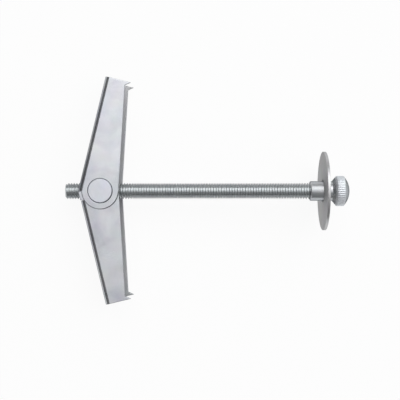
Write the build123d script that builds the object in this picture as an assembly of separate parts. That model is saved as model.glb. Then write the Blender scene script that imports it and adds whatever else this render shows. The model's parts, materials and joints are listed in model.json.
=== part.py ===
from build123d import *
import math
import os

# Two-winged spring toggle anchor: a threaded rod with a knurled sleeve nut and a washer at one end,
# and at the other a round cross nut that carries two sprung sheet-steel wings.
#
# The pieces are drawn in the anchor's own frame, in millimetres: the rod's axis is X with the sleeve
# nut towards +X, the wings spread along Y, and their pivot is the Z axis. The whole is then laid on
# the ground plane as it comes to rest, on one wing ear and the washer's rim.

# Threaded rod, drawn at its major diameter
rod_diameter = 6.0
rod_length = 100.0
rod_chamfer = 0.6
rod_past_pivot = 13.7
thread_clearance = 0.05

# Cross nut, which is the pivot pin of both wings
trunnion_diameter = 9.0
trunnion_chamfer = 0.2
pin_clearance = 0.08

# Wings, two equal stampings
sheet = 1.0
bend_inner_radius = 0.55
bend_outer_radius = 1.8
channel_width = 16.0
nesting_gap = 0.15
web_offset = 8.0
wing_reach = 41.4
ear_radius = 6.8
flange_taper = 10.1
tooth_height = 2.2
tooth_base = 1.5
hole_edge_break = 0.15
open_angle = 13.55
stop_gap = 0.1
rod_notch_clearance = 0.45
notch_corner_radius = 0.8
bend_relief = 0.12

# Double torsion spring round the cross nut
wire_diameter = 0.9
coil_clearance = 0.15
coil_pitch = 0.95
full_turns = 2
spring_arm = 9.0
arm_clearance = 0.02
bridge_bend_radius = 1.2

# Sleeve nut
sleeve_diameter = 7.4
sleeve_length = 8.3
sleeve_edge = 0.25
sleeve_thread_used = 8.1
sleeve_thread_spare = 4.4
head_diameter = 11.4
cone_length = 1.6
band_length = 3.0
dome_height = 1.95
dome_edge = 0.35
flute_count = 46
flute_depth = 0.25

# Washer
washer_diameter = 29.6
washer_thickness = 1.0
washer_hole_clearance = 0.5
washer_edge = 0.12
washer_to_cone = 2.5

# What follows from the sizes above
rod_radius = rod_diameter / 2
trunnion_radius = trunnion_diameter / 2
thread_hole_radius = rod_radius + thread_clearance
pin_hole_radius = trunnion_radius + pin_clearance
nesting_shift = (sheet + nesting_gap) / 2
outer_face = channel_width / 2 + nesting_shift
inner_face = channel_width / 2 - nesting_shift
web_inner = web_offset - sheet
coil_room = inner_face - sheet
wire_radius = wire_diameter / 2
tilt_sin = math.sin(math.radians(open_angle))
tilt_cos = math.cos(math.radians(open_angle))
# Along the wing, the web of the open wing meets the anchor's middle plane at its inner face here
web_end = stop_gap / 2 / tilt_cos - web_inner * tilt_sin / tilt_cos
notch_end = (rod_radius + rod_notch_clearance - web_inner * tilt_sin) / tilt_cos
notch_side = rod_radius + rod_notch_clearance
rod_head_end = rod_length - rod_past_pivot
sleeve_start = rod_head_end - sleeve_thread_used
cone_start = sleeve_start + sleeve_length
band_start = cone_start + cone_length
band_end = band_start + band_length
washer_far_face = cone_start - washer_to_cone
washer_near_face = washer_far_face - washer_thickness
washer_hole_radius = sleeve_diameter / 2 + washer_hole_clearance


def box(x, y, z):
    """A box between two values on each axis."""
    size = (x[1] - x[0], y[1] - y[0], z[1] - z[0])
    middle = ((x[0] + x[1]) / 2, (y[0] + y[1]) / 2, (z[0] + z[1]) / 2)
    return Pos(*middle) * Box(*size)


def threaded_rod():
    """The rod, with a chamfer on each end."""
    bar = Pos(-rod_past_pivot, 0, 0) * Rot(0, 90, 0) * Cylinder(
        rod_radius, rod_length, align=(Align.CENTER, Align.CENTER, Align.MIN)
    )
    ends = bar.faces().filter_by(Axis.X)
    return chamfer(ends.edges(), rod_chamfer)


def trunnion_nut():
    """A round bar across the rod, tapped through its middle, its ends flush with the ears."""
    bar = Cylinder(trunnion_radius, 2 * outer_face)
    bar = chamfer(bar.faces().filter_by(Axis.Z).edges(), trunnion_chamfer)
    return bar - Rot(0, 90, 0) * Cylinder(thread_hole_radius, 2 * trunnion_diameter)


def free_edge(along):
    """How far the flange's free edge lies from the pivot, square to the web, at a place along it."""
    taper = math.radians(flange_taper)
    return ear_radius / math.cos(taper) - along * math.tan(taper)


def flange_outline():
    """The side view of a wing: web side at -X, tip at +Y, a pointed tooth at the tip's free corner."""
    taper = math.radians(flange_taper)
    tooth_foot = wing_reach - tooth_base
    corners = [
        (-web_offset, web_end),
        (-web_offset, wing_reach),
        (free_edge(wing_reach) + tooth_height, wing_reach),
        (free_edge(tooth_foot), tooth_foot),
        (ear_radius * math.cos(taper), ear_radius * math.sin(taper)),
        (0, web_end),
    ]
    return make_face(Polyline(*corners, close=True)) + Circle(ear_radius)


def channel_section():
    """The cross-section of a wing's channel, open towards +X, in the XZ plane."""
    depth = web_offset + 2 * ear_radius
    middle = depth / 2 - web_offset
    outside = Pos(middle, nesting_shift) * Rectangle(depth, channel_width)
    inside = Pos(middle + sheet, nesting_shift) * Rectangle(depth, channel_width - 2 * sheet)
    outside = fillet(outside.vertices().group_by(Axis.X)[0], bend_outer_radius)
    inside = fillet(inside.vertices().group_by(Axis.X)[0], bend_inner_radius)
    return Plane.XZ * (outside - inside)


def rod_notch():
    """What the web leaves out for the rod: everything but the lobe beside the outer ear."""
    low = -(inner_face + sheet)
    high = notch_side
    start = web_end - sheet
    corners = [(start, low), (notch_end, low), (notch_end, high), (start, high)]
    outline = make_face(Polyline(*corners, close=True))
    corner = outline.vertices().sort_by_distance((notch_end, high))[0]
    outline = fillet(corner, notch_corner_radius)
    depth = sheet + bend_outer_radius
    return Pos(-web_offset - sheet, 0, 0) * extrude(Plane.YZ * outline, depth)


def wing():
    """One wing, open, with its outer ear and web lobe at +Z and its inner ear and stop tab at -Z."""
    outline = flange_outline()
    bar = extrude(channel_section(), -(wing_reach + 2 * ear_radius), both=True)
    sides = Pos(0, 0, -channel_width) * extrude(outline, 2 * channel_width)
    body = (bar & sides) & box(
        (-web_offset, web_offset + ear_radius), (web_end, wing_reach), (-channel_width, channel_width)
    )
    body -= rod_notch()
    tab = box(
        (-web_offset, 0), (web_end, notch_end - bend_relief), (-inner_face, -inner_face + sheet)
    )
    # Above the web's end an ear stops where the bend begins
    beyond_bend = box((-ear_radius, bend_outer_radius - web_offset), (web_end, ear_radius), (0, sheet))
    ear = extrude(Circle(ear_radius), sheet) - beyond_bend
    body = body + tab + Pos(0, 0, -inner_face) * ear + Pos(0, 0, outer_face - sheet) * ear
    body -= Cylinder(pin_hole_radius, 2 * channel_width)
    rims = body.edges().filter_by(GeomType.CIRCLE)
    rims = rims.filter_by(lambda e: abs(e.radius - pin_hole_radius) < pin_clearance / 2)
    by_height = rims.group_by(Axis.Z)
    body = chamfer(by_height[0] + by_height[-1], hole_edge_break)
    return Rot(0, 0, -open_angle) * body


def torsion_spring():
    """Two coils beside the rod, a bridge that bears on one web and two arms that bear on the other."""
    coil_radius = trunnion_radius + coil_clearance + wire_radius
    lean = web_inner - wire_radius - arm_clearance
    reach = math.hypot(lean, spring_arm)
    # Where the arm leaves the coil, as an angle about the pivot in the open wing's own frame
    leave = math.atan2(spring_arm, -lean) + math.acos(coil_radius / reach)
    start = math.degrees(leave) - open_angle
    turn = 2 * (180 - start) + 360 * full_turns
    rise = coil_pitch * turn / 360
    # Each coil sits midway between the rod and the inner ear
    first_turn = (rod_radius + coil_room - rise) / 2
    helix = Helix(coil_pitch, rise, coil_radius)
    wire = Plane(helix @ 0, z_dir=helix % 0) * Circle(wire_radius)
    coil = Pos(0, 0, first_turn) * Rot(0, 0, start) * sweep(wire, path=helix, is_frenet=True)

    tip = Rot(0, 0, -open_angle) * Pos(-lean, spring_arm, 0)
    root_angle = math.radians(start)
    root = Vector(coil_radius * math.cos(root_angle), coil_radius * math.sin(root_angle), 0)
    tip = tip.position
    up = Vector(0, 0, first_turn)
    bridge_path = FilletPolyline(
        root + up, tip + up, tip - up, root - up, radius=bridge_bend_radius
    )
    bridge_wire = Plane(bridge_path @ 0, z_dir=bridge_path % 0) * Circle(wire_radius)
    bridge = sweep(bridge_wire, path=bridge_path)

    last = Vector(0, 0, first_turn + rise)
    arm_root = Vector(root.X, -root.Y, 0) + last
    arm_tip = Vector(tip.X, -tip.Y, 0) + last
    arm_line = Line(arm_root, arm_tip)
    arm_wire = Plane(arm_root, z_dir=arm_line % 0) * Circle(wire_radius)
    arm = sweep(arm_wire, path=arm_line)
    knuckle = Sphere(wire_radius)
    half = coil + arm + Pos(*arm_root) * knuckle + Pos(*(root + up)) * knuckle
    return half + mirror(half, about=Plane.XY) + bridge


def washer():
    """A plain round washer on the sleeve."""
    ring = Cylinder(washer_diameter / 2, washer_thickness) - Cylinder(
        washer_hole_radius, washer_thickness
    )
    ring = fillet(ring.edges().filter_by(GeomType.CIRCLE), washer_edge)
    return Pos(washer_near_face + washer_thickness / 2, 0, 0) * Rot(0, 90, 0) * ring


def sleeve_nut():
    """A tapped sleeve with a coned collar, a straight-knurled band and a shallow domed end."""
    sleeve_radius = sleeve_diameter / 2
    head_radius = head_diameter / 2
    bore_end = rod_head_end + sleeve_thread_spare
    dome_foot = head_radius - dome_edge
    profile = Polyline(
        (band_end + dome_height, 0),
        (bore_end + thread_hole_radius / 2, 0),
        (bore_end, thread_hole_radius),
        (sleeve_start, thread_hole_radius),
        (sleeve_start, sleeve_radius - sleeve_edge),
        (sleeve_start + sleeve_edge, sleeve_radius),
        (cone_start, sleeve_radius),
        (band_start, head_radius),
        (band_end - dome_edge, head_radius),
        (band_end, dome_foot),
    )
    arc_bulge = (dome_foot**2 + dome_height**2) / (2 * dome_height)
    half_way = math.asin(dome_foot / arc_bulge) / 2
    arc_middle = (
        band_end + dome_height - arc_bulge * (1 - math.cos(half_way)),
        arc_bulge * math.sin(half_way),
    )
    dome = ThreePointArc((band_end, dome_foot), arc_middle, (band_end + dome_height, 0))
    nut = revolve(make_face(profile + dome), Axis.X)
    half_flute = math.pi * head_diameter / flute_count / 2
    groove = Polyline(
        (head_radius - flute_depth, 0),
        (head_radius + flute_depth, 2 * half_flute),
        (head_radius + flute_depth, -2 * half_flute),
        close=True,
    )
    cutter = Pos(band_start - cone_length, 0, 0) * extrude(
        Plane.YZ * make_face(groove), cone_length + band_length
    )
    cutters = [Rot(360 * i / flute_count, 0, 0) * cutter for i in range(flute_count)]
    return nut - cutters


def lay_down(pieces):
    """Where the anchor's own frame goes, so that it rests on the ground plane about the origin."""
    drop = washer_diameter / 2 - outer_face
    tilt = math.degrees(math.atan2(drop, washer_near_face + ear_radius))
    leaned = Compound(children=[Rot(0, -tilt, 0) * piece for piece in pieces.values()])
    extent = leaned.bounding_box()
    middle = extent.center()
    return Pos(-middle.X, -middle.Y, -extent.min.Z) * Rot(0, -tilt, 0)


open_wing = wing()
pieces = {
    "threaded_rod": threaded_rod(),
    "trunnion_nut": trunnion_nut(),
    "wing_left": open_wing,
    "wing_right": Rot(180, 0, 0) * open_wing,
    "torsion_spring": torsion_spring(),
    "washer": washer(),
    "sleeve_nut": sleeve_nut(),
}
rest = lay_down(pieces)

os.makedirs("parts", exist_ok=True)
for name, piece in pieces.items():
    export_step(rest * piece, f"parts/{name}.step")
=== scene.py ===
import json
import math

import bmesh
import bpy
from mathutils import Matrix, Vector


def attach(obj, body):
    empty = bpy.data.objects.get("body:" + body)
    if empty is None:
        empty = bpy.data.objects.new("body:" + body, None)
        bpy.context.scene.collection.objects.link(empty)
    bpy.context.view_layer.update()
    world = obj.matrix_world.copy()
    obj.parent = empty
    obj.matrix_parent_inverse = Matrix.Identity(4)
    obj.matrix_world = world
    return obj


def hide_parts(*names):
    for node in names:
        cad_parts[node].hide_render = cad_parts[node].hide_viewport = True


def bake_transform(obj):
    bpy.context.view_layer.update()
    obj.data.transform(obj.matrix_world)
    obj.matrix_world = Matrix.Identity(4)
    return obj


# A two-winged spring toggle anchor, lying on a pale floor and seen from above, along its pivot pin.
# Pieces are drawn in millimetres in the anchor's own frame (X along the rod to the knurled nut, Y
# along the wings, Z along the pivot pin) and then put where the CAD frame has them.

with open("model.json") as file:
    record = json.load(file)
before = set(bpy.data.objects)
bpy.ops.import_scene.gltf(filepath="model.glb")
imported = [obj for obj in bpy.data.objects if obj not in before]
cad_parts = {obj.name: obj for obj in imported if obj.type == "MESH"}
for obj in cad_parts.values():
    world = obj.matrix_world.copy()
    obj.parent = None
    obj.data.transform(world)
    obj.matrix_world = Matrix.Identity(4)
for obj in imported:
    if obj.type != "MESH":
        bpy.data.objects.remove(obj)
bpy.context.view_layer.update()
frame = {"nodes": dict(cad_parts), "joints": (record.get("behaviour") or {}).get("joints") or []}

MM = 0.001

# Lengths are in mm and angles in degrees, unless a comment says otherwise

# Welding, and the angle past which an edge stays hard
WELD_REACH = 0.0005
TOUCHING = 0.0001
HARD_ANGLE = 40

# Thread, M6 with a 1 mm pitch
PITCH = 1.0
THREAD_DEPTH = 0.58
CREST_WIDTH = 0.16
ROOT_WIDTH = 0.22
CREST_ROUND = 0.055
THREAD_STEPS = 48
THREAD_HARD_ANGLE = 35
LEAD_TURNS = 2
END_CHAMFER = 0.6

# Knurled sleeve nut, measured from its open end
SLEEVE_RADIUS = 3.7
SLEEVE_EDGE = 0.25
SLEEVE_LENGTH = 8.3
BORE_RADIUS = 3.05
BORE_LENGTH = 12.5
HEAD_RADIUS = 5.7
CONE_LENGTH = 1.6
BAND_LENGTH = 3.0
BAND_EDGE = 0.06
DOME_HEIGHT = 1.95
DOME_EDGE = 0.35
DOME_STEPS = 12
SHOULDER_IN = 0.08
SHOULDER_OUT = 0.17
# The blend at the cone's root reaches back along the sleeve and up the cone
ROOT_BLEND_BACK = 0.1
ROOT_BLEND_UP = 0.12
# A corner's drop where it is eased, and the lengths it is eased over
EASE = 0.02
EASE_RUN_INSIDE = 0.03
EASE_RUN_OUTSIDE = 0.05
FLUTES = 46
FLUTE_DEPTH = 0.11
FLUTE_ROUNDNESS = 1.7
FLUTE_RUNOUT = 0.25
FLUTE_STEPS = 8
# How far back down the cone the knurl's painted light and painted shade reach
KNURL_PAINT_REACH = 0.6

# Washer
WASHER_EDGE = 0.12
WASHER_HOLE_RADIUS = 4.2
WASHER_STEPS = 160
WASHER_EDGE_STEPS = 4

# Torsion spring round the cross nut
WIRE_RADIUS = 0.45
COIL_PITCH = 0.95
COIL_RADIUS = 5.1
COIL_STEPS = 48
WIRE_STEPS = 20
WIRE_ROUNDNESS = 4
ARM_LENGTH = 9.0
WEB_LEAN = 6.53
WIRE_HARD_ANGLE = 40
BRIDGE_BEND = 1.2
BRIDGE_BEND_STEPS = 6
OPEN_ANGLE = 13.55

# Wings and cross nut
PRESSED_EDGE = 0.24
TURNED_EDGE = 0.08
PIN_REST = (-0.05, 0.05, 0)
EAR_RADIUS = 6.8
EAR_SLACK = 0.05
BEND_MIDDLE = -6.2
BEND_RADIUS = 1.8
BEND_SLACK = 0.02
ROLL_STEPS = 3
# An edge is rolled only where each face beside it is this many rolls wide
ROLL_ROOM = 1.2
# Corners this near are one corner, and faces this near in angle are one flat
CAD_WELD_REACH = 0.002
CAD_FLAT_ANGLE = 1.0

# Cosines between a face's direction and another one, which tell a piece's faces apart
ALONG = 0.9995
ACROSS = 0.02
TOWARDS = 0.7
PIN_SIDE = 0.97
PIN_END = 0.999
BEND_OUT = 0.25
BEND_SIDES = (-0.93, -0.05)
EAR_FACE = 0.99

# Plating: its patterns, with the relief in metres, and what scratches and the painted shade in
# grooves add to it
CLOUD_SPREAD = (0.32, 0.68)
TINT_SCALE = 1.7
FINE_SCALE = 9.0
FINE_SHARE = 0.3
FINE_SPREAD = (0.2, 0.8)
SCRATCH_LEANS = (12.0, 68.0, 141.0)
SCRATCH_STRETCH = 0.025
SCRATCH_EDGE = 0.06
SCRATCH_PATCH_SCALE = 160.0
SCRATCH_PATCH_SPREAD = (0.42, 0.62)
SCRATCH_COLOUR = (0.75, 0.76, 0.78, 1)
SCRATCH_ROUGHNESS = 0.12
SCRATCH_RELIEF = 0.1
GROOVE_ROUGHNESS = 0.08
RELIEF_HEIGHT = 0.00002

# Studio. Spreads are measured from straight above, towards the left wing. The floor's size and the
# softboxes' distance and length are in metres
CAMERA_OVER = (36.8, -3.4)
CAMERA_HEIGHT = 330.0
FOCAL_LENGTH = 78.75
SENSOR_WIDTH = 36.0
SOFTBOX_DISTANCE = 1.5
SOFTBOX_ALONG = 680.0
SOFTBOX_LENGTH = 2.2
FILL_SPREAD = (-15.0, 60.0)
FILL_BRIGHTNESS = 0.62
MIDDLE_SPREAD = (1.0, 60.0)
MIDDLE_BRIGHTNESS = 0.48
KEY_SPREAD = (17.0, 48.0)
KEY_BRIGHTNESS = 0.78
# The studio's light by direction: two directions along Y, X and Y, and the light at each of them
STUDIO_RIGHT_TO_LEFT = (-1.0, 1.0, 0.37, 0.54)
STUDIO_FREE_END = (-0.6, -0.05, 0.42, 1.0)
STUDIO_FAR_RIGHT = (-1.0, -0.7, 0.6, 1.0)
FLOOR_SIZE = 40
FLOOR_GREY = 0.95
FLOOR_GLOW = 0.92


# ---------------------------------------------------------------- the anchor's own frame

joints = {joint["name"]: joint for joint in frame["joints"]}
head_way = -Vector(joints["toggle_travel"]["axis"]).normalized()
pin_way = Vector(joints["right_wing_fold"]["axis"]).normalized()
wing_way = pin_way.cross(head_way)
anchor = Matrix((head_way, wing_way, pin_way)).transposed().to_4x4()
anchor.translation = Vector(joints["right_wing_fold"]["pos_m"])


def span(node):
    """A CAD node's lowest and highest corner in the anchor's own frame, in millimetres."""
    back = anchor.inverted()
    places = [back @ vertex.co / MM for vertex in frame["nodes"][node].data.vertices]
    low = Vector([min(place[axis] for place in places) for axis in range(3)])
    high = Vector([max(place[axis] for place in places) for axis in range(3)])
    return low, high


def link(name, mesh):
    """A new object at the origin with this mesh."""
    thing = bpy.data.objects.new(name, mesh)
    bpy.context.scene.collection.objects.link(thing)
    return thing


def from_anchor(mesh):
    """Takes a mesh in millimetres in the anchor's frame to metres in the part's frame."""
    mesh.transform(anchor @ Matrix.Scale(MM, 4))
    return mesh


def mesh_of(name, shape):
    """A mesh from a bmesh, which is used up."""
    mesh = bpy.data.meshes.new(name)
    shape.to_mesh(mesh)
    shape.free()
    return mesh


def baked(thing):
    """The plain mesh that an object's modifiers give. The object is used up."""
    bpy.context.view_layer.update()
    depsgraph = bpy.context.evaluated_depsgraph_get()
    mesh = bpy.data.meshes.new_from_object(thing.evaluated_get(depsgraph))
    bpy.data.objects.remove(thing)
    return mesh


def smooth(mesh, angle):
    """Smooth shading, with edges sharper than this angle in degrees kept hard."""
    mesh.shade_smooth()
    mesh.set_sharp_from_angle(angle=math.radians(angle))


def fit(name, mesh, finish, nodes, body):
    """A finished piece: its mesh, its finish, the CAD nodes it stands for and the body it rides."""
    thing = link(name, mesh)
    mesh.name = name
    mesh.materials.clear()
    mesh.materials.append(finish)
    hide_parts(*nodes)
    if body:
        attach(thing, body)
    return thing


# ---------------------------------------------------------------- node trees


class Steps:
    """Adds nodes to a node tree and joins them up."""

    def __init__(self, tree):
        self.tree = tree

    def add(self, kind, feeds=None, **settings):
        """A new node. feeds gives an input, by name or number, a value or another node's socket."""
        node = self.tree.nodes.new(kind)
        for name, value in settings.items():
            setattr(node, name, value)
        for key, value in (feeds or {}).items():
            if isinstance(value, bpy.types.NodeSocket):
                self.tree.links.new(value, node.inputs[key])
            else:
                node.inputs[key].default_value = value
        return node

    def math(self, operation, *values):
        """The result of a Math node on these values or sockets."""
        return self.add("ShaderNodeMath", dict(enumerate(values)), operation=operation).outputs[0]

    def mix(self, share, first, second, **settings):
        """A colour between two colours or colour sockets."""
        feeds = {0: share, 6: first, 7: second}
        return self.add("ShaderNodeMix", feeds, data_type="RGBA", **settings).outputs[2]

    def ramp(self, value, start, end, low=0.0, high=1.0, **settings):
        """A value that goes from low to high while the given one goes from start to end."""
        feeds = {"Value": value, "From Min": start, "From Max": end, "To Min": low, "To Max": high}
        return self.add("ShaderNodeMapRange", feeds, **settings).outputs[0]

    def noise(self, place, scale, detail, **more):
        """A noise texture's node at these coordinates."""
        return self.add(
            "ShaderNodeTexNoise", {"Vector": place, "Scale": scale, "Detail": detail, **more}
        )

    def radius(self, place, axes):
        """How far coordinates lie from the axis square to these two, which are given by number."""
        parts = self.add("ShaderNodeSeparateXYZ", {0: place}).outputs
        squares = [self.math("POWER", parts[axis], 2.0) for axis in axes]
        return self.math("SQRT", self.math("ADD", *squares))


def new_group(name, kind, inputs, outputs):
    """A node group with named sockets: (its Steps, its input sockets, its output node)."""
    tree = bpy.data.node_groups.new(name, kind)
    for socket_name, socket_type, value in inputs:
        socket = tree.interface.new_socket(socket_name, in_out="INPUT", socket_type=socket_type)
        if value is not None:
            socket.default_value = value
    for socket_name, socket_type in outputs:
        tree.interface.new_socket(socket_name, in_out="OUTPUT", socket_type=socket_type)
    steps = Steps(tree)
    given = steps.add("NodeGroupInput").outputs
    return steps, given, steps.add("NodeGroupOutput")


def run_tree(thing, tree, values):
    """Puts a Geometry Nodes tree on an object with these named inputs, and gives the plain mesh."""
    modifier = thing.modifiers.new(tree.name, "NODES")
    modifier.node_group = tree
    sockets = {s.name: s.identifier for s in tree.interface.items_tree if s.in_out == "INPUT"}
    for name, value in values.items():
        modifier[sockets[name]] = value
    return baked(thing)


def repeat_along_tree():
    """Repeats a piece along X, end to end: the turns of a thread."""
    steps, given, end = new_group(
        "repeat_along",
        "GeometryNodeTree",
        [
            ("Geometry", "NodeSocketGeometry", None),
            ("Count", "NodeSocketInt", 10),
            ("Pitch", "NodeSocketFloat", 1.0),
            ("Material", "NodeSocketMaterial", None),
        ],
        [("Geometry", "NodeSocketGeometry")],
    )
    stride = steps.add("ShaderNodeCombineXYZ", {"X": given["Pitch"]})
    row = steps.add("GeometryNodeMeshLine", {"Count": given["Count"], "Offset": stride.outputs[0]})
    copies = steps.add(
        "GeometryNodeInstanceOnPoints", {"Points": row.outputs[0], "Instance": given["Geometry"]}
    )
    finish_tree(steps, copies.outputs[0], given, end)
    return steps.tree


def repeat_around_tree():
    """Repeats a sector about the X axis: the flutes of a straight knurl."""
    steps, given, end = new_group(
        "repeat_around",
        "GeometryNodeTree",
        [
            ("Geometry", "NodeSocketGeometry", None),
            ("Count", "NodeSocketInt", 10),
            ("Material", "NodeSocketMaterial", None),
        ],
        [("Geometry", "NodeSocketGeometry")],
    )
    row = steps.add("GeometryNodeMeshLine", {"Count": given["Count"], "Offset": (0, 0, 0)})
    index = steps.add("GeometryNodeInputIndex").outputs[0]
    share = steps.math("DIVIDE", index, given["Count"])
    turn = steps.add("ShaderNodeCombineXYZ", {"X": steps.math("MULTIPLY", share, math.tau)})
    copies = steps.add(
        "GeometryNodeInstanceOnPoints",
        {"Points": row.outputs[0], "Instance": given["Geometry"], "Rotation": turn.outputs[0]},
    )
    finish_tree(steps, copies.outputs[0], given, end)
    return steps.tree


def coil_tree():
    """A round wire wound into a helix about Z, starting at the origin's level on the X axis."""
    steps, given, end = new_group(
        "coil",
        "GeometryNodeTree",
        [
            ("Geometry", "NodeSocketGeometry", None),
            ("Turns", "NodeSocketFloat", 2.0),
            ("Pitch", "NodeSocketFloat", 1.0),
            ("Radius", "NodeSocketFloat", 5.0),
            ("Wire Radius", "NodeSocketFloat", 0.5),
            ("Material", "NodeSocketMaterial", None),
        ],
        [("Geometry", "NodeSocketGeometry")],
    )
    rise = steps.math("MULTIPLY", given["Turns"], given["Pitch"])
    helix = steps.add(
        "GeometryNodeCurveSpiral",
        {
            "Resolution": COIL_STEPS,
            "Rotations": given["Turns"],
            "Start Radius": given["Radius"],
            "End Radius": given["Radius"],
            "Height": rise,
        },
    )
    section = steps.add(
        "GeometryNodeCurvePrimitiveCircle",
        {"Resolution": WIRE_STEPS, "Radius": given["Wire Radius"]},
    )
    wire = steps.add(
        "GeometryNodeCurveToMesh",
        {"Curve": helix.outputs[0], "Profile Curve": section.outputs[0], "Fill Caps": True},
    )
    finish_tree(steps, wire.outputs[0], given, end)
    return steps.tree


def finish_tree(steps, geometry, given, end):
    """The last nodes of every tree here: real meshes, with their material."""
    real = steps.add("GeometryNodeRealizeInstances", {"Geometry": geometry})
    coated = steps.add(
        "GeometryNodeSetMaterial",
        {"Geometry": real.outputs[0], "Material": given["Material"]},
    )
    steps.tree.links.new(coated.outputs[0], end.inputs[0])


repeat_along = repeat_along_tree()
repeat_around = repeat_around_tree()
coil = coil_tree()


# ---------------------------------------------------------------- finishes


def clouded_plating_group():
    """Zinc plating's soft clouds: a colour and a roughness that drift over the surface."""
    steps, given, end = new_group(
        "clouded_plating",
        "ShaderNodeTree",
        [
            ("Vector", "NodeSocketVector", None),
            ("Cloud Scale", "NodeSocketFloat", 90.0),
            ("Light Colour", "NodeSocketColor", (0.7, 0.7, 0.7, 1)),
            ("Dark Colour", "NodeSocketColor", (0.6, 0.6, 0.6, 1)),
            ("Tint", "NodeSocketFloat", 0.03),
            ("Smooth", "NodeSocketFloat", 0.25),
            ("Rough", "NodeSocketFloat", 0.4),
        ],
        [("Color", "NodeSocketColor"), ("Roughness", "NodeSocketFloat")],
    )
    place = given["Vector"]
    clouds = steps.noise(place, given["Cloud Scale"], 2.0, Roughness=0.5, Distortion=0.4)
    spread = steps.ramp(clouds.outputs[0], *CLOUD_SPREAD)
    colour = steps.mix(spread, given["Dark Colour"], given["Light Colour"])
    tints = steps.noise(place, steps.math("MULTIPLY", given["Cloud Scale"], TINT_SCALE), 2.0)
    tinted = steps.mix(given["Tint"], colour, tints.outputs["Color"], blend_type="LINEAR_LIGHT")
    fine = steps.noise(place, steps.math("MULTIPLY", given["Cloud Scale"], FINE_SCALE), 3.0)
    coarse = steps.math("MULTIPLY", spread, 1 - FINE_SHARE)
    mixed = steps.math("MULTIPLY_ADD", fine.outputs[0], FINE_SHARE, coarse)
    rough = steps.ramp(mixed, *FINE_SPREAD, given["Smooth"], given["Rough"])
    steps.tree.links.new(tinted, end.inputs["Color"])
    steps.tree.links.new(rough, end.inputs["Roughness"])
    return steps.tree


def drawn_grain_group():
    """Fine lines along X with small pits between them, as a height."""
    steps, given, end = new_group(
        "drawn_grain",
        "ShaderNodeTree",
        [
            ("Vector", "NodeSocketVector", None),
            ("Grain Scale", "NodeSocketFloat", 1500.0),
            ("Stretch", "NodeSocketFloat", 0.03),
        ],
        [("Height", "NodeSocketFloat")],
    )
    along = steps.add("ShaderNodeCombineXYZ", {"X": given["Stretch"], "Y": 1.0, "Z": 1.0})
    drawn = steps.add(
        "ShaderNodeVectorMath",
        {0: given["Vector"], 1: along.outputs[0]},
        operation="MULTIPLY",
    )
    lines = steps.noise(drawn.outputs[0], given["Grain Scale"], 3.0)
    pits = steps.noise(given["Vector"], given["Grain Scale"], 2.0)
    both = steps.math("ADD", lines.outputs[0], pits.outputs[0])
    steps.tree.links.new(both, end.inputs["Height"])
    return steps.tree


def fine_scratches_group():
    """Sparse long scratches in a few directions, in patches, as a mask."""
    steps, given, end = new_group(
        "fine_scratches",
        "ShaderNodeTree",
        [
            ("Vector", "NodeSocketVector", None),
            ("Scratch Scale", "NodeSocketFloat", 3000.0),
            ("Sparseness", "NodeSocketFloat", 0.64),
        ],
        [("Mask", "NodeSocketFloat")],
    )
    full = steps.math("ADD", given["Sparseness"], SCRATCH_EDGE)
    lines = []
    for lean in SCRATCH_LEANS:
        turned = steps.add(
            "ShaderNodeMapping",
            {
                "Vector": given["Vector"],
                "Location": (lean, 0.0, 0.0),
                "Rotation": (0.0, 0.0, math.radians(lean)),
                "Scale": (SCRATCH_STRETCH, 1.0, 1.0),
            },
        )
        streaks = steps.noise(turned.outputs[0], given["Scratch Scale"], 1.0)
        lines.append(steps.ramp(streaks.outputs[0], given["Sparseness"], full))
    every = steps.math("MAXIMUM", steps.math("MAXIMUM", lines[0], lines[1]), lines[2])
    patches = steps.noise(given["Vector"], SCRATCH_PATCH_SCALE, 2.0)
    where = steps.ramp(patches.outputs[0], *SCRATCH_PATCH_SPREAD)
    mask = steps.math("MULTIPLY", every, where)
    steps.tree.links.new(mask, end.inputs["Mask"])
    return steps.tree


def turned_rings_group():
    """Fine uneven rings about the Z axis, as a height: the marks of a lathe on an end face."""
    steps, given, end = new_group(
        "turned_rings",
        "ShaderNodeTree",
        [("Vector", "NodeSocketVector", None), ("Rings per Metre", "NodeSocketFloat", 3000.0)],
        [("Height", "NodeSocketFloat")],
    )
    radius = steps.radius(given["Vector"], (0, 1))
    place = steps.math("MULTIPLY", radius, given["Rings per Metre"])
    rings = steps.add(
        "ShaderNodeTexNoise",
        {"W": place, "Scale": 1.0, "Detail": 3.0, "Roughness": 0.7},
        noise_dimensions="1D",
    )
    steps.tree.links.new(rings.outputs[0], end.inputs["Height"])
    return steps.tree


def groove_depth_group():
    """How deep a point lies in the grooves of a piece turned about X: 0 on crests, 1 at roots."""
    steps, given, end = new_group(
        "groove_depth",
        "ShaderNodeTree",
        [
            ("Vector", "NodeSocketVector", None),
            ("Crest Radius", "NodeSocketFloat", 0.003),
            ("Root Radius", "NodeSocketFloat", 0.0024),
        ],
        [("Mask", "NodeSocketFloat")],
    )
    radius = steps.radius(given["Vector"], (1, 2))
    depth = steps.ramp(
        radius, given["Crest Radius"], given["Root Radius"], interpolation_type="SMOOTHSTEP"
    )
    steps.tree.links.new(depth, end.inputs["Mask"])
    return steps.tree


clouded_plating = clouded_plating_group()
drawn_grain = drawn_grain_group()
fine_scratches = fine_scratches_group()
turned_rings = turned_rings_group()
groove_depth = groove_depth_group()


def own_coordinates(steps, centre, turn):
    """Object coordinates, moved and turned so that a pattern sits straight on a piece."""
    place = steps.add("ShaderNodeTexCoord").outputs["Object"]
    settings = {"Vector": place, "Location": centre, "Rotation": turn}
    return steps.add("ShaderNodeMapping", settings, vector_type="TEXTURE").outputs[0]


def use_group(steps, group, place, **values):
    """Places a node group, reading these coordinates, with its own values by input name."""
    node = steps.add("ShaderNodeGroup", node_tree=group)
    steps.tree.links.new(place, node.inputs["Vector"])
    for name, value in values.items():
        node.inputs[name.replace("_", " ")].default_value = value
    return node


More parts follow.
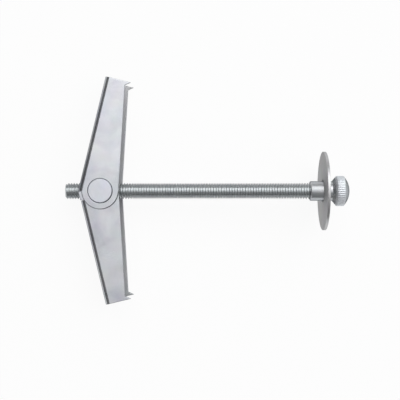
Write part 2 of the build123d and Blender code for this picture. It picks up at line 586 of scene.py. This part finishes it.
def plated(name, light, dark, edge_on, smooth_to_rough, cloud_scale, scuffs, **marks):
    """Plated steel, whose shine dulls to the edge_on tint where it is seen edge-on.

    scuffs is the scratches' strength. The marks are grain and rings, each (scale, bump strength),
    for drawn lines and lathe marks, and groove, (crest radius, root radius, colour), for painted
    shade that darkens the roots of a thread or a knurl and makes them rougher.
    """
    material = bpy.data.materials.new(name)
    material.use_nodes = True
    material.node_tree.nodes.clear()
    steps = Steps(material.node_tree)
    place = own_coordinates(steps, anchor.translation, anchor.to_euler())
    plating = use_group(
        steps,
        clouded_plating,
        place,
        Cloud_Scale=cloud_scale,
        Light_Colour=(*light, 1),
        Dark_Colour=(*dark, 1),
        Smooth=smooth_to_rough[0],
        Rough=smooth_to_rough[1],
    )
    scratches = use_group(steps, fine_scratches, place).outputs["Mask"]
    scuffed = steps.math("MULTIPLY", scratches, scuffs)
    colour = steps.mix(scuffed, plating.outputs["Color"], SCRATCH_COLOUR)
    roughness = steps.math("MULTIPLY_ADD", scuffed, SCRATCH_ROUGHNESS, plating.outputs["Roughness"])
    # Painted shade: the roots of a thread or a knurl are painted darker, and made rougher
    if "groove" in marks:
        crest, root, groove_painted_shade = marks["groove"]
        grooves = use_group(steps, groove_depth, place, Crest_Radius=crest, Root_Radius=root)
        depth = grooves.outputs["Mask"]
        colour = steps.mix(depth, colour, (*groove_painted_shade, 1))
        roughness = steps.math("MULTIPLY_ADD", depth, GROOVE_ROUGHNESS, roughness)
    feeds = {
        "Base Color": colour,
        "Roughness": roughness,
        "Metallic": 1.0,
        "Specular Tint": (*edge_on, 1),
    }
    reliefs = [(scuffed, SCRATCH_RELIEF)]
    if "grain" in marks:
        scale, strength = marks["grain"]
        relief = use_group(steps, drawn_grain, place, Grain_Scale=scale)
        reliefs.append((relief.outputs["Height"], strength))
    if "rings" in marks:
        scale, strength = marks["rings"]
        relief = use_group(steps, turned_rings, place, Rings_per_Metre=scale)
        reliefs.append((relief.outputs["Height"], strength))
    for height, strength in reliefs:
        settings = {"Height": height, "Strength": strength, "Distance": RELIEF_HEIGHT}
        if "Normal" in feeds:
            settings["Normal"] = feeds["Normal"]
        feeds["Normal"] = steps.add("ShaderNodeBump", settings).outputs[0]
    shader = steps.add("ShaderNodeBsdfPrincipled", feeds)
    output = steps.add("ShaderNodeOutputMaterial")
    steps.tree.links.new(shader.outputs[0], output.inputs["Surface"])
    return material


zinc_sheet = plated(
    "zinc_sheet",
    light=(0.57, 0.58, 0.605),
    dark=(0.435, 0.443, 0.482),
    edge_on=(0.4, 0.4, 0.42),
    smooth_to_rough=(0.21, 0.26),
    cloud_scale=110,
    scuffs=0.12,
    grain=(1500, 0.02),
)
# Painted shade: the sheet's plating painted far darker, with a dark edge-on tint, on the wings'
# bends and ear rims
bends_painted_shade = plated(
    "bends_painted_shade",
    light=(0.26, 0.265, 0.28),
    dark=(0.22, 0.225, 0.24),
    edge_on=(0.1, 0.1, 0.11),
    smooth_to_rough=(0.25, 0.31),
    cloud_scale=110,
    scuffs=0.12,
    grain=(1500, 0.1),
)
dull_inside = plated(
    "dull_inside",
    light=(0.55, 0.56, 0.575),
    dark=(0.475, 0.485, 0.50),
    edge_on=(0.8, 0.8, 0.8),
    smooth_to_rough=(0.50, 0.60),
    cloud_scale=110,
    scuffs=0.12,
    grain=(1500, 0.15),
)
zinc_rod = plated(
    "zinc_rod",
    light=(0.65, 0.67, 0.68),
    dark=(0.585, 0.605, 0.615),
    edge_on=(0.24, 0.24, 0.25),
    smooth_to_rough=(0.15, 0.21),
    cloud_scale=300,
    scuffs=0.2,
    grain=(2500, 0.12),
    # The thread's roots get painted shade, a darker colour than the crests
    groove=(0.00292, 0.0025, (0.59, 0.615, 0.625)),
)
zinc_pin = plated(
    "zinc_pin",
    light=(0.65, 0.665, 0.72),
    dark=(0.58, 0.595, 0.645),
    edge_on=(0.6, 0.6, 0.62),
    smooth_to_rough=(0.30, 0.40),
    cloud_scale=150,
    scuffs=0.3,
    grain=(1500, 0.1),
    rings=(4500, 0.5),
)
zinc_washer = plated(
    "zinc_washer",
    light=(0.56, 0.56, 0.565),
    dark=(0.49, 0.49, 0.495),
    edge_on=(0.5, 0.5, 0.5),
    smooth_to_rough=(0.56, 0.64),
    cloud_scale=120,
    scuffs=0.35,
    grain=(1200, 0.15),
)
washer_rim = plated(
    "washer_rim",
    light=(0.56, 0.56, 0.57),
    dark=(0.50, 0.50, 0.51),
    edge_on=(0.7, 0.7, 0.7),
    smooth_to_rough=(0.30, 0.42),
    cloud_scale=300,
    scuffs=0.2,
    grain=(3000, 0.25),
)
bright_nut = plated(
    "bright_nut",
    light=(0.53, 0.55, 0.565),
    dark=(0.49, 0.505, 0.52),
    edge_on=(0.25, 0.26, 0.27),
    smooth_to_rough=(0.24, 0.34),
    cloud_scale=160,
    scuffs=0.2,
    grain=(2500, 0.08),
)
# The knurled band: the nut's plating painted much lighter, which is painted light, with painted
# shade in the roots of its flutes
knurl_painted_light = plated(
    "knurl_painted_light",
    light=(0.80, 0.83, 0.86),
    dark=(0.74, 0.77, 0.80),
    edge_on=(0.92, 0.94, 0.97),
    smooth_to_rough=(0.50, 0.58),
    cloud_scale=160,
    scuffs=0.1,
    grain=(2500, 0.08),
    groove=(0.0057, 0.0055, (0.70, 0.72, 0.74)),
)
spring_wire = plated(
    "spring_wire",
    light=(0.40, 0.40, 0.39),
    dark=(0.28, 0.27, 0.26),
    edge_on=(0.6, 0.6, 0.6),
    smooth_to_rough=(0.25, 0.40),
    cloud_scale=350,
    scuffs=0.2,
    grain=(2500, 0.2),
)


# ---------------------------------------------------------------- turned and threaded pieces


def swept_sector(profile, angle, count, radius_at=None):
    """A profile of (x, r) points swept about X through an angle, in count steps."""
    shape = bmesh.new()
    rows = []
    for step in range(count + 1):
        turn = angle * step / count
        row = []
        for x, r in profile:
            r = radius_at(x, r, step / count) if radius_at else r
            row.append(shape.verts.new((x, r * math.cos(turn), r * math.sin(turn))))
        rows.append(row)
    for near, far in zip(rows, rows[1:]):
        for i in range(len(profile) - 1):
            shape.faces.new((near[i], near[i + 1], far[i + 1], far[i]))
    return shape


def weld(shape):
    """Joins doubled corners and turns the faces outwards."""
    bmesh.ops.remove_doubles(shape, verts=shape.verts, dist=WELD_REACH)
    bmesh.ops.dissolve_degenerate(shape, edges=shape.edges, dist=TOUCHING)
    bmesh.ops.recalc_face_normals(shape, faces=shape.faces)


def thread_turn(radius):
    """One turn of the thread, as a strip whose far edge is one pitch on from its near edge."""
    root = radius - THREAD_DEPTH
    flank = (PITCH - CREST_WIDTH - ROOT_WIDTH) / 2
    root_start = CREST_WIDTH + flank
    root_end = root_start + ROOT_WIDTH
    profile = [
        (0, radius - CREST_ROUND),
        (CREST_ROUND, radius),
        (CREST_WIDTH - CREST_ROUND, radius),
        (CREST_WIDTH, radius - CREST_ROUND),
        (root_start, root + CREST_ROUND),
        (root_start + ROOT_WIDTH / 4, root),
        (root_end - ROOT_WIDTH / 4, root),
        (root_end, root + CREST_ROUND),
        (PITCH, radius - CREST_ROUND),
    ]
    shape = swept_sector(profile, math.tau, THREAD_STEPS)
    for index, vertex in enumerate(shape.verts):
        vertex.co.x += PITCH * (index // len(profile)) / THREAD_STEPS
    return shape


def cut_square(shape, end, way):
    """Cuts a turned shape off square at x = end, on its way side, and closes it."""
    everything = shape.verts[:] + shape.edges[:] + shape.faces[:]
    bmesh.ops.bisect_plane(
        shape, geom=everything, plane_co=(end, 0, 0), plane_no=(way, 0, 0), clear_outer=True
    )
    borders = [edge for edge in shape.edges if edge.is_boundary]
    rim = [edge for edge in borders if abs(edge.verts[0].co.x - end) < TOUCHING]
    bmesh.ops.holes_fill(shape, edges=rim, sides=0)


def threaded_rod():
    """The rod with its thread, cut square at both ends over a chamfer."""
    low, high = span("threaded_rod")
    radius = (high.y - low.y) / 2
    turns = math.ceil((high.x - low.x) / PITCH) + LEAD_TURNS + 1
    one_turn = link("thread_turn", mesh_of("thread_turn", thread_turn(radius)))
    mesh = run_tree(
        one_turn,
        repeat_along,
        {"Count": turns, "Pitch": PITCH, "Material": zinc_rod},
    )
    mesh.transform(Matrix.Translation((low.x - LEAD_TURNS * PITCH, 0, 0)))
    shape = bmesh.new()
    shape.from_mesh(mesh)
    weld(shape)
    # Near its ends the thread is turned down to the chamfer
    for vertex in shape.verts:
        inside = min(vertex.co.x - low.x, high.x - vertex.co.x)
        most = radius - max(0, END_CHAMFER - inside)
        r = math.hypot(vertex.co.y, vertex.co.z)
        if r > most > 0:
            vertex.co.y *= most / r
            vertex.co.z *= most / r
    cut_square(shape, low.x, -1)
    cut_square(shape, high.x, 1)
    weld(shape)
    mesh = mesh_of("threaded_rod_thread", shape)
    smooth(mesh, THREAD_HARD_ANGLE)
    fit("threaded_rod_thread", from_anchor(mesh), zinc_rod, ["threaded_rod"], "rod")


def nut_profile(start):
    """The sleeve nut's half outline from the dome's middle, round the outside and into the bore."""
    cone = start + SLEEVE_LENGTH
    band = cone + CONE_LENGTH
    band_end = band + BAND_LENGTH
    foot = HEAD_RADIUS - DOME_EDGE
    bulge = (foot**2 + DOME_HEIGHT**2) / (2 * DOME_HEIGHT)
    reach = math.asin(foot / bulge)
    cone_edge = HEAD_RADIUS - BAND_EDGE

    def cone_point(x):
        return x, SLEEVE_RADIUS + (x - cone) * (cone_edge - SLEEVE_RADIUS) / CONE_LENGTH

    points = []
    for step in range(DOME_STEPS + 1):
        lean = reach * step / DOME_STEPS
        x = band_end + DOME_HEIGHT - bulge * (1 - math.cos(lean))
        points.append((x, bulge * math.sin(lean)))
    points += [
        (band_end - SHOULDER_IN, foot + SHOULDER_OUT),
        (band_end - DOME_EDGE, HEAD_RADIUS - BAND_EDGE / 2),
        (band_end - DOME_EDGE - 2 * BAND_EDGE, HEAD_RADIUS),
        (band + 2 * BAND_EDGE, HEAD_RADIUS),
        (band, cone_edge),
        cone_point(band - FLUTE_RUNOUT),
        cone_point(band - KNURL_PAINT_REACH),
        cone_point(cone + ROOT_BLEND_UP),
        (cone, SLEEVE_RADIUS + EASE),
        (cone - ROOT_BLEND_BACK, SLEEVE_RADIUS),
        (start + SLEEVE_EDGE + EASE_RUN_OUTSIDE, SLEEVE_RADIUS),
        (start + SLEEVE_EDGE, SLEEVE_RADIUS - EASE),
        (start + EASE_RUN_INSIDE, SLEEVE_RADIUS - SLEEVE_EDGE + EASE),
        (start, SLEEVE_RADIUS - SLEEVE_EDGE - EASE),
        (start, BORE_RADIUS),
        (start + BORE_LENGTH, BORE_RADIUS),
        (start + BORE_LENGTH + BORE_RADIUS / 2, 0),
    ]
    return points


def sleeve_nut():
    """The nut as one sector per flute, repeated round its axis."""
    start = span("sleeve_nut")[0].x
    band = start + SLEEVE_LENGTH + CONE_LENGTH
    band_end = band + BAND_LENGTH

    def fluted(x, r, share):
        if not band <= x < band_end:
            return r
        runout = min(1, max(0, (r - HEAD_RADIUS + DOME_EDGE) / FLUTE_RUNOUT))
        valley = abs(2 * share - 1) ** FLUTE_ROUNDNESS
        return r - FLUTE_DEPTH * valley * runout

    shape = swept_sector(nut_profile(start), math.tau / FLUTES, FLUTE_STEPS, fluted)
    sector = link("nut_sector", mesh_of("nut_sector", shape))
    mesh = run_tree(sector, repeat_around, {"Count": FLUTES, "Material": bright_nut})
    shape = bmesh.new()
    shape.from_mesh(mesh)
    weld(shape)
    # Faces of the knurled band and the cone beside it, which get the knurl's painted light
    knurled = []
    for face in shape.faces:
        place = face.calc_center_median()
        beside = band - KNURL_PAINT_REACH < place.x < band_end - SHOULDER_IN
        knurled.append(int(beside and math.hypot(place.y, place.z) > SLEEVE_RADIUS))
    mesh = mesh_of("sleeve_nut_knurled", shape)
    smooth(mesh, HARD_ANGLE)
    nut = fit(
        "sleeve_nut_knurled",
        from_anchor(mesh),
        bright_nut,
        ["sleeve_nut"],
        "knurled_nut",
    )
    nut.data.materials.append(knurl_painted_light)
    nut.data.polygons.foreach_set("material_index", knurled)


def washer():
    """The washer, with slightly rounded rims."""
    low, high = span("washer")
    rim = (high.y - low.y) / 2
    corner = WASHER_EDGE
    profile = []
    for x, r, start in (
        (high.x - corner, rim - corner, 0),
        (low.x + corner, rim - corner, 90),
        (low.x + corner, WASHER_HOLE_RADIUS + corner, 180),
        (high.x - corner, WASHER_HOLE_RADIUS + corner, 270),
    ):
        for step in range(WASHER_EDGE_STEPS + 1):
            turn = math.radians(start + 90 * step / WASHER_EDGE_STEPS)
            profile.append((x + corner * math.cos(turn), r + corner * math.sin(turn)))
    profile.append(profile[0])
    shape = swept_sector(profile, math.tau, WASHER_STEPS)
    weld(shape)
    middles = [face.calc_center_median() for face in shape.faces]
    sheared = [int(math.hypot(place.y, place.z) > rim - corner / 2) for place in middles]
    mesh = mesh_of("washer_rounded", shape)
    smooth(mesh, HARD_ANGLE)
    ring = fit(
        "washer_rounded",
        from_anchor(mesh),
        zinc_washer,
        ["washer"],
        "washer_ring",
    )
    ring.data.materials.append(washer_rim)
    ring.data.polygons.foreach_set("material_index", sheared)


# ---------------------------------------------------------------- wings and cross nut


def rolled(node, name, edge):
    """A CAD node's own shape as a welded copy, with its outer edges rolled to this many mm."""
    thing = link(name, frame["nodes"][node].data.copy())
    shape = bmesh.new()
    shape.from_mesh(thing.data)
    bmesh.ops.remove_doubles(shape, verts=shape.verts, dist=CAD_WELD_REACH * MM)
    bmesh.ops.dissolve_limit(
        shape, angle_limit=math.radians(CAD_FLAT_ANGLE), verts=shape.verts, edges=shape.edges
    )
    weights = shape.edges.layers.float.new("bevel_weight_edge")
    for line in shape.edges:
        widths = [
            face.calc_area() / max(side.calc_length() for side in face.edges)
            for face in line.link_faces
        ]
        sharp = line.calc_face_angle_signed(0) > math.radians(HARD_ANGLE)
        line[weights] = float(sharp and min(widths) > ROLL_ROOM * edge * MM)
    shape.to_mesh(thing.data)
    shape.free()
    thing.data.shade_smooth()
    bevel = thing.modifiers.new("edge_roll", "BEVEL")
    bevel.width = edge * MM
    bevel.segments = ROLL_STEPS
    bevel.limit_method = "WEIGHT"
    bevel.use_clamp_overlap = False
    flats = thing.modifiers.new("flats", "WEIGHTED_NORMAL")
    flats.weight = 100
    return baked(thing)


def true_normals(mesh, surface):
    """Shades a mesh by its true surface: the normal that surface(spot, way) gives, if any.

    spot is a corner in the anchor's frame in mm, and way is its face's direction.
    """
    back = anchor.inverted()
    turn = back.to_3x3()
    normals = [corner.vector.copy() for corner in mesh.corner_normals]
    for face in mesh.polygons:
        way = turn @ face.normal
        for corner in face.loop_indices:
            spot = back @ mesh.vertices[mesh.loops[corner].vertex_index].co / MM
            normal = surface(spot, way)
            if normal:
                normals[corner] = (turn.transposed() @ normal).normalized()
    mesh.normals_split_custom_set(normals)


def wing_surface(side, low, high):
    """The flats of a wing and the round outside of its bends. The left wing's side is 1, else -1."""
    lean = Matrix.Rotation(math.radians(OPEN_ANGLE), 3, "Z") @ Matrix.Diagonal((1, side, side))
    ends = sorted((side * low.z, side * high.z))

    def surface(spot, way):
        own = lean @ spot
        aim = lean @ way
        flat = max(range(3), key=lambda axis: abs(aim[axis]))
        slanted = aim.x < -ACROSS and abs(aim.z) > ACROSS and abs(aim.y) < ACROSS
        normal = Vector((0, 0, 0))
        if abs(aim[flat]) > ALONG:
            normal[flat] = math.copysign(1, aim[flat])
        elif slanted and own.x < BEND_MIDDLE + BEND_SLACK:
            middle = ends[1] - BEND_RADIUS if aim.z > 0 else ends[0] + BEND_RADIUS
            normal.x = own.x - BEND_MIDDLE
            normal.z = own.z - middle
        else:
            return None
        return lean.transposed() @ normal

    return surface


def pin_surface(spot, way):
    """The cross nut's round side and its flat ends."""
    out = Vector((spot.x, spot.y, 0)).normalized()
    if way.dot(out) > PIN_SIDE:
        return out
    return Vector((0, 0, math.copysign(1, way.z))) if abs(way.z) > PIN_END else None


def channel_faces(mesh, middle):
    """For each face of a wing: 0 on the flat outside, 1 on its bends and ear rims, which get painted
    shade, 2 inside.
    """
    back = anchor.inverted()
    turn = back.to_3x3()
    marks = []
    for face in mesh.polygons:
        place = back @ face.center / MM
        way = turn @ face.normal
        inward = way.z * math.copysign(1, middle - place.z)
        by_web = place.x < -EAR_RADIUS / 2
        inside = inward > TOWARDS or (way.x > TOWARDS and by_web)
        bent = by_web and way.x < -BEND_OUT and BEND_SIDES[0] < inward < BEND_SIDES[1]
        beyond = math.hypot(place.x, place.y) - EAR_RADIUS
        rim = -PRESSED_EDGE < beyond < EAR_SLACK and inward > -EAR_FACE
        marks.append(2 if inside else int(bent or rim))
    return marks


def wing(node, body):
    """A wing with the rolled edges that a press leaves, painted shade on its bends and ear rims, and
    duller inside its channel.
    """
    name = node + "_pressed"
    low, high = span(node)
    side = 1 if high.y > -low.y else -1
    mesh = rolled(node, name, PRESSED_EDGE)
    true_normals(mesh, wing_surface(side, low, high))
    marks = channel_faces(mesh, (low.z + high.z) / 2)
    piece = fit(name, mesh, zinc_sheet, [node], body)
    # The bends and ear rims get the painted shade
    piece.data.materials.append(bends_painted_shade)
    piece.data.materials.append(dull_inside)
    piece.data.polygons.foreach_set("material_index", marks)


def cross_nut():
    """The cross nut, its turned ends just broken at the edge, at rest against the ears' holes."""
    name = "trunnion_nut_turned"
    mesh = rolled("trunnion_nut", name, TURNED_EDGE)
    true_normals(mesh, pin_surface)
    mesh.transform(Matrix.Translation(anchor.to_3x3() @ Vector(PIN_REST) * MM))
    fit(name, mesh, zinc_pin, ["trunnion_nut"], "cross_nut")


# ---------------------------------------------------------------- torsion spring


def rounded_corner(before, corner, after, radius):
    """Points of the arc that rounds a square corner."""
    back = (before - corner).normalized()
    ahead = (after - corner).normalized()
    middle = corner + (back + ahead) * radius
    shares = [step / BRIDGE_BEND_STEPS for step in range(BRIDGE_BEND_STEPS + 1)]
    turns = [math.pi / 2 * share for share in shares]
    return [middle - ahead * radius * math.cos(t) - back * radius * math.sin(t) for t in turns]


def spring_coil(name, side, begin, turns, level):
    """Half of a coil, which rides no body.

    It starts at the angle begin and at this level over the rod, or under it where side is -1.
    """
    mesh = run_tree(
        link("coil", bpy.data.meshes.new("coil")),
        coil,
        {
            "Turns": turns,
            "Pitch": COIL_PITCH,
            "Radius": COIL_RADIUS,
            "Wire Radius": WIRE_RADIUS,
            "Material": spring_wire,
        },
    )
    mesh.transform(Matrix.Translation((0, 0, level)) @ Matrix.Rotation(begin, 4, "Z"))
    if side < 0:
        mesh.transform(Matrix.Scale(-1, 4, (0, 0, 1)))
        mesh.flip_normals()
    smooth(mesh, WIRE_HARD_ANGLE)
    piece = fit(name, from_anchor(mesh), spring_wire, ["torsion_spring"], None)
    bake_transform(piece)


def spring_end(name, points, body):
    """A length of the spring's wire along these points that turns with one wing."""
    curve = bpy.data.curves.new(name, "CURVE")
    curve.dimensions = "3D"
    curve.bevel_depth = WIRE_RADIUS
    curve.bevel_resolution = WIRE_ROUNDNESS
    curve.use_fill_caps = True
    line = curve.splines.new("POLY")
    line.points.add(len(points) - 1)
    for point, place in zip(line.points, points):
        point.co = (*place, 1)
    mesh = baked(link(name, curve))
    smooth(mesh, WIRE_HARD_ANGLE)
    fit(name, from_anchor(mesh), spring_wire, ["torsion_spring"], body)


def torsion_spring():
    """Two coils beside the rod, which ride no body; the wire at their inner ends turns with one
    wing, and at their outer ends with the other.

    The inner ends are bridged across the one wing's web, and the outer ones have straight arms.
    """
    # The wire leaves the coil as a tangent that ends at the wing's web
    reach = math.hypot(WEB_LEAN, ARM_LENGTH)
    leave = math.atan2(ARM_LENGTH, -WEB_LEAN) + math.acos(COIL_RADIUS / reach)
    start = leave - math.radians(OPEN_ANGLE)
    turns = 2 + (math.pi - start) / math.pi
    rise = COIL_PITCH * turns
    outer = span("torsion_spring")[1].z - WIRE_RADIUS
    inner = outer - rise
    halfway = start + math.pi * turns
    sides = ((1, "front"), (-1, "back"))
    for side, name in sides:
        spring_coil(f"spring_coil_{name}_inner", side, start, turns / 2, inner)
        spring_coil(f"spring_coil_{name}_outer", side, halfway, turns / 2, inner + rise / 2)

    # root is where the wire leaves the coil, and tip is where the bridge turns across the web
    pin = Vector((0, 0, 1))
    root = Vector((COIL_RADIUS * math.cos(start), COIL_RADIUS * math.sin(start), 0))
    tip = Matrix.Rotation(-math.radians(OPEN_ANGLE), 4, "Z") @ Vector((-WEB_LEAN, ARM_LENGTH, 0))
    corners = [root + pin * inner, tip + pin * inner, tip - pin * inner, root - pin * inner]
    path = [corners[0]]
    path += rounded_corner(*corners[0:3], BRIDGE_BEND)
    path += rounded_corner(*corners[1:4], BRIDGE_BEND)
    path.append(corners[3])
    spring_end("spring_bridge", path, "left_wing")
    for side, name in sides:
        level = pin * outer * side
        arm = [Vector((root.x, -root.y, 0)) + level, Vector((tip.x, -tip.y, 0)) + level]
        spring_end(f"spring_arm_{name}", arm, "right_wing")


# ---------------------------------------------------------------- studio


def floor():
    """A pale floor. It shows white to the camera and in the metal, and keeps a soft shadow."""
    bpy.ops.mesh.primitive_plane_add(size=FLOOR_SIZE)
    plane = bpy.context.object
    plane.name = "floor"
    material = bpy.data.materials.new("floor_white")
    material.use_nodes = True
    material.node_tree.nodes.clear()
    steps = Steps(material.node_tree)
    path = steps.add("ShaderNodeLightPath").outputs
    seen = steps.math("MAXIMUM", path["Is Camera Ray"], path["Is Glossy Ray"])
    seen = steps.math("MAXIMUM", seen, path["Is Transmission Ray"])
    plain = steps.add("ShaderNodeBsdfDiffuse", {"Color": (FLOOR_GREY, FLOOR_GREY, FLOOR_GREY, 1)})
    glow = steps.add("ShaderNodeEmission", {"Color": (1, 1, 1, 1), "Strength": 1.0})
    share = steps.math("MULTIPLY", seen, FLOOR_GLOW)
    both = steps.add("ShaderNodeMixShader", {0: share, 1: plain.outputs[0], 2: glow.outputs[0]})
    output = steps.add("ShaderNodeOutputMaterial")
    steps.tree.links.new(both.outputs[0], output.inputs["Surface"])
    plane.data.materials.append(material)


def surroundings():
    """A dim studio, lighter on the left wing's side and darker beyond the rod's free end."""
    world = bpy.data.worlds.new("studio")
    bpy.context.scene.world = world
    world.use_nodes = True
    world.node_tree.nodes.clear()
    steps = Steps(world.node_tree)
    way = steps.add("ShaderNodeTexCoord").outputs["Generated"]
    parts = steps.add("ShaderNodeSeparateXYZ", {0: way})
    across = steps.ramp(parts.outputs["Y"], *STUDIO_RIGHT_TO_LEFT)
    along = steps.ramp(parts.outputs["X"], *STUDIO_FREE_END, interpolation_type="SMOOTHSTEP")
    beside = steps.ramp(parts.outputs["Y"], *STUDIO_FAR_RIGHT)
    level = steps.math("MULTIPLY", steps.math("MULTIPLY", across, along), beside)
    shade = steps.add("ShaderNodeBackground", {"Color": (1, 1, 1, 1), "Strength": level})
    output = steps.add("ShaderNodeOutputWorld")
    steps.tree.links.new(shade.outputs[0], output.inputs["Surface"])


def softbox(name, spread, brightness):
    """A long soft light beside the rod's line that fills these angles, seen from the pivot."""
    middle = math.radians(sum(spread) / 2)
    half = math.radians(spread[1] - spread[0]) / 2
    lamp = bpy.data.lights.new(name, "AREA")
    lamp.shape = "RECTANGLE"
    lamp.size = SOFTBOX_LENGTH
    lamp.size_y = 2 * SOFTBOX_DISTANCE * math.tan(half)
    lamp.energy = brightness * math.pi * lamp.size * lamp.size_y
    light = bpy.data.objects.new(name, lamp)
    bpy.context.scene.collection.objects.link(light)
    lean = Matrix.Rotation(-middle, 4, "X")
    shift = Matrix.Translation((SOFTBOX_ALONG * MM, 0, 0))
    light.matrix_world = anchor @ shift @ lean @ Matrix.Translation((0, 0, SOFTBOX_DISTANCE))


def camera():
    """Looks straight down the pivot pin's way, with the rod level and the wings upright."""
    lens = bpy.data.cameras.new("camera")
    lens.sensor_width = SENSOR_WIDTH
    lens.lens = FOCAL_LENGTH
    lens.clip_start = 0.01
    lens.clip_end = 100
    eye = bpy.data.objects.new("camera", lens)
    bpy.context.scene.collection.objects.link(eye)
    over = Vector((*CAMERA_OVER, CAMERA_HEIGHT)) * MM
    eye.matrix_world = anchor @ Matrix.Translation(over)
    bpy.context.scene.camera = eye


threaded_rod()
sleeve_nut()
washer()
wing("wing_left", "left_wing")
wing("wing_right", "right_wing")
cross_nut()
torsion_spring()
floor()
surroundings()
softbox("fill_softbox", FILL_SPREAD, FILL_BRIGHTNESS)
softbox("middle_softbox", MIDDLE_SPREAD, MIDDLE_BRIGHTNESS)
softbox("key_softbox", KEY_SPREAD, KEY_BRIGHTNESS)
camera()
bpy.context.scene.view_settings.view_transform = "Standard"
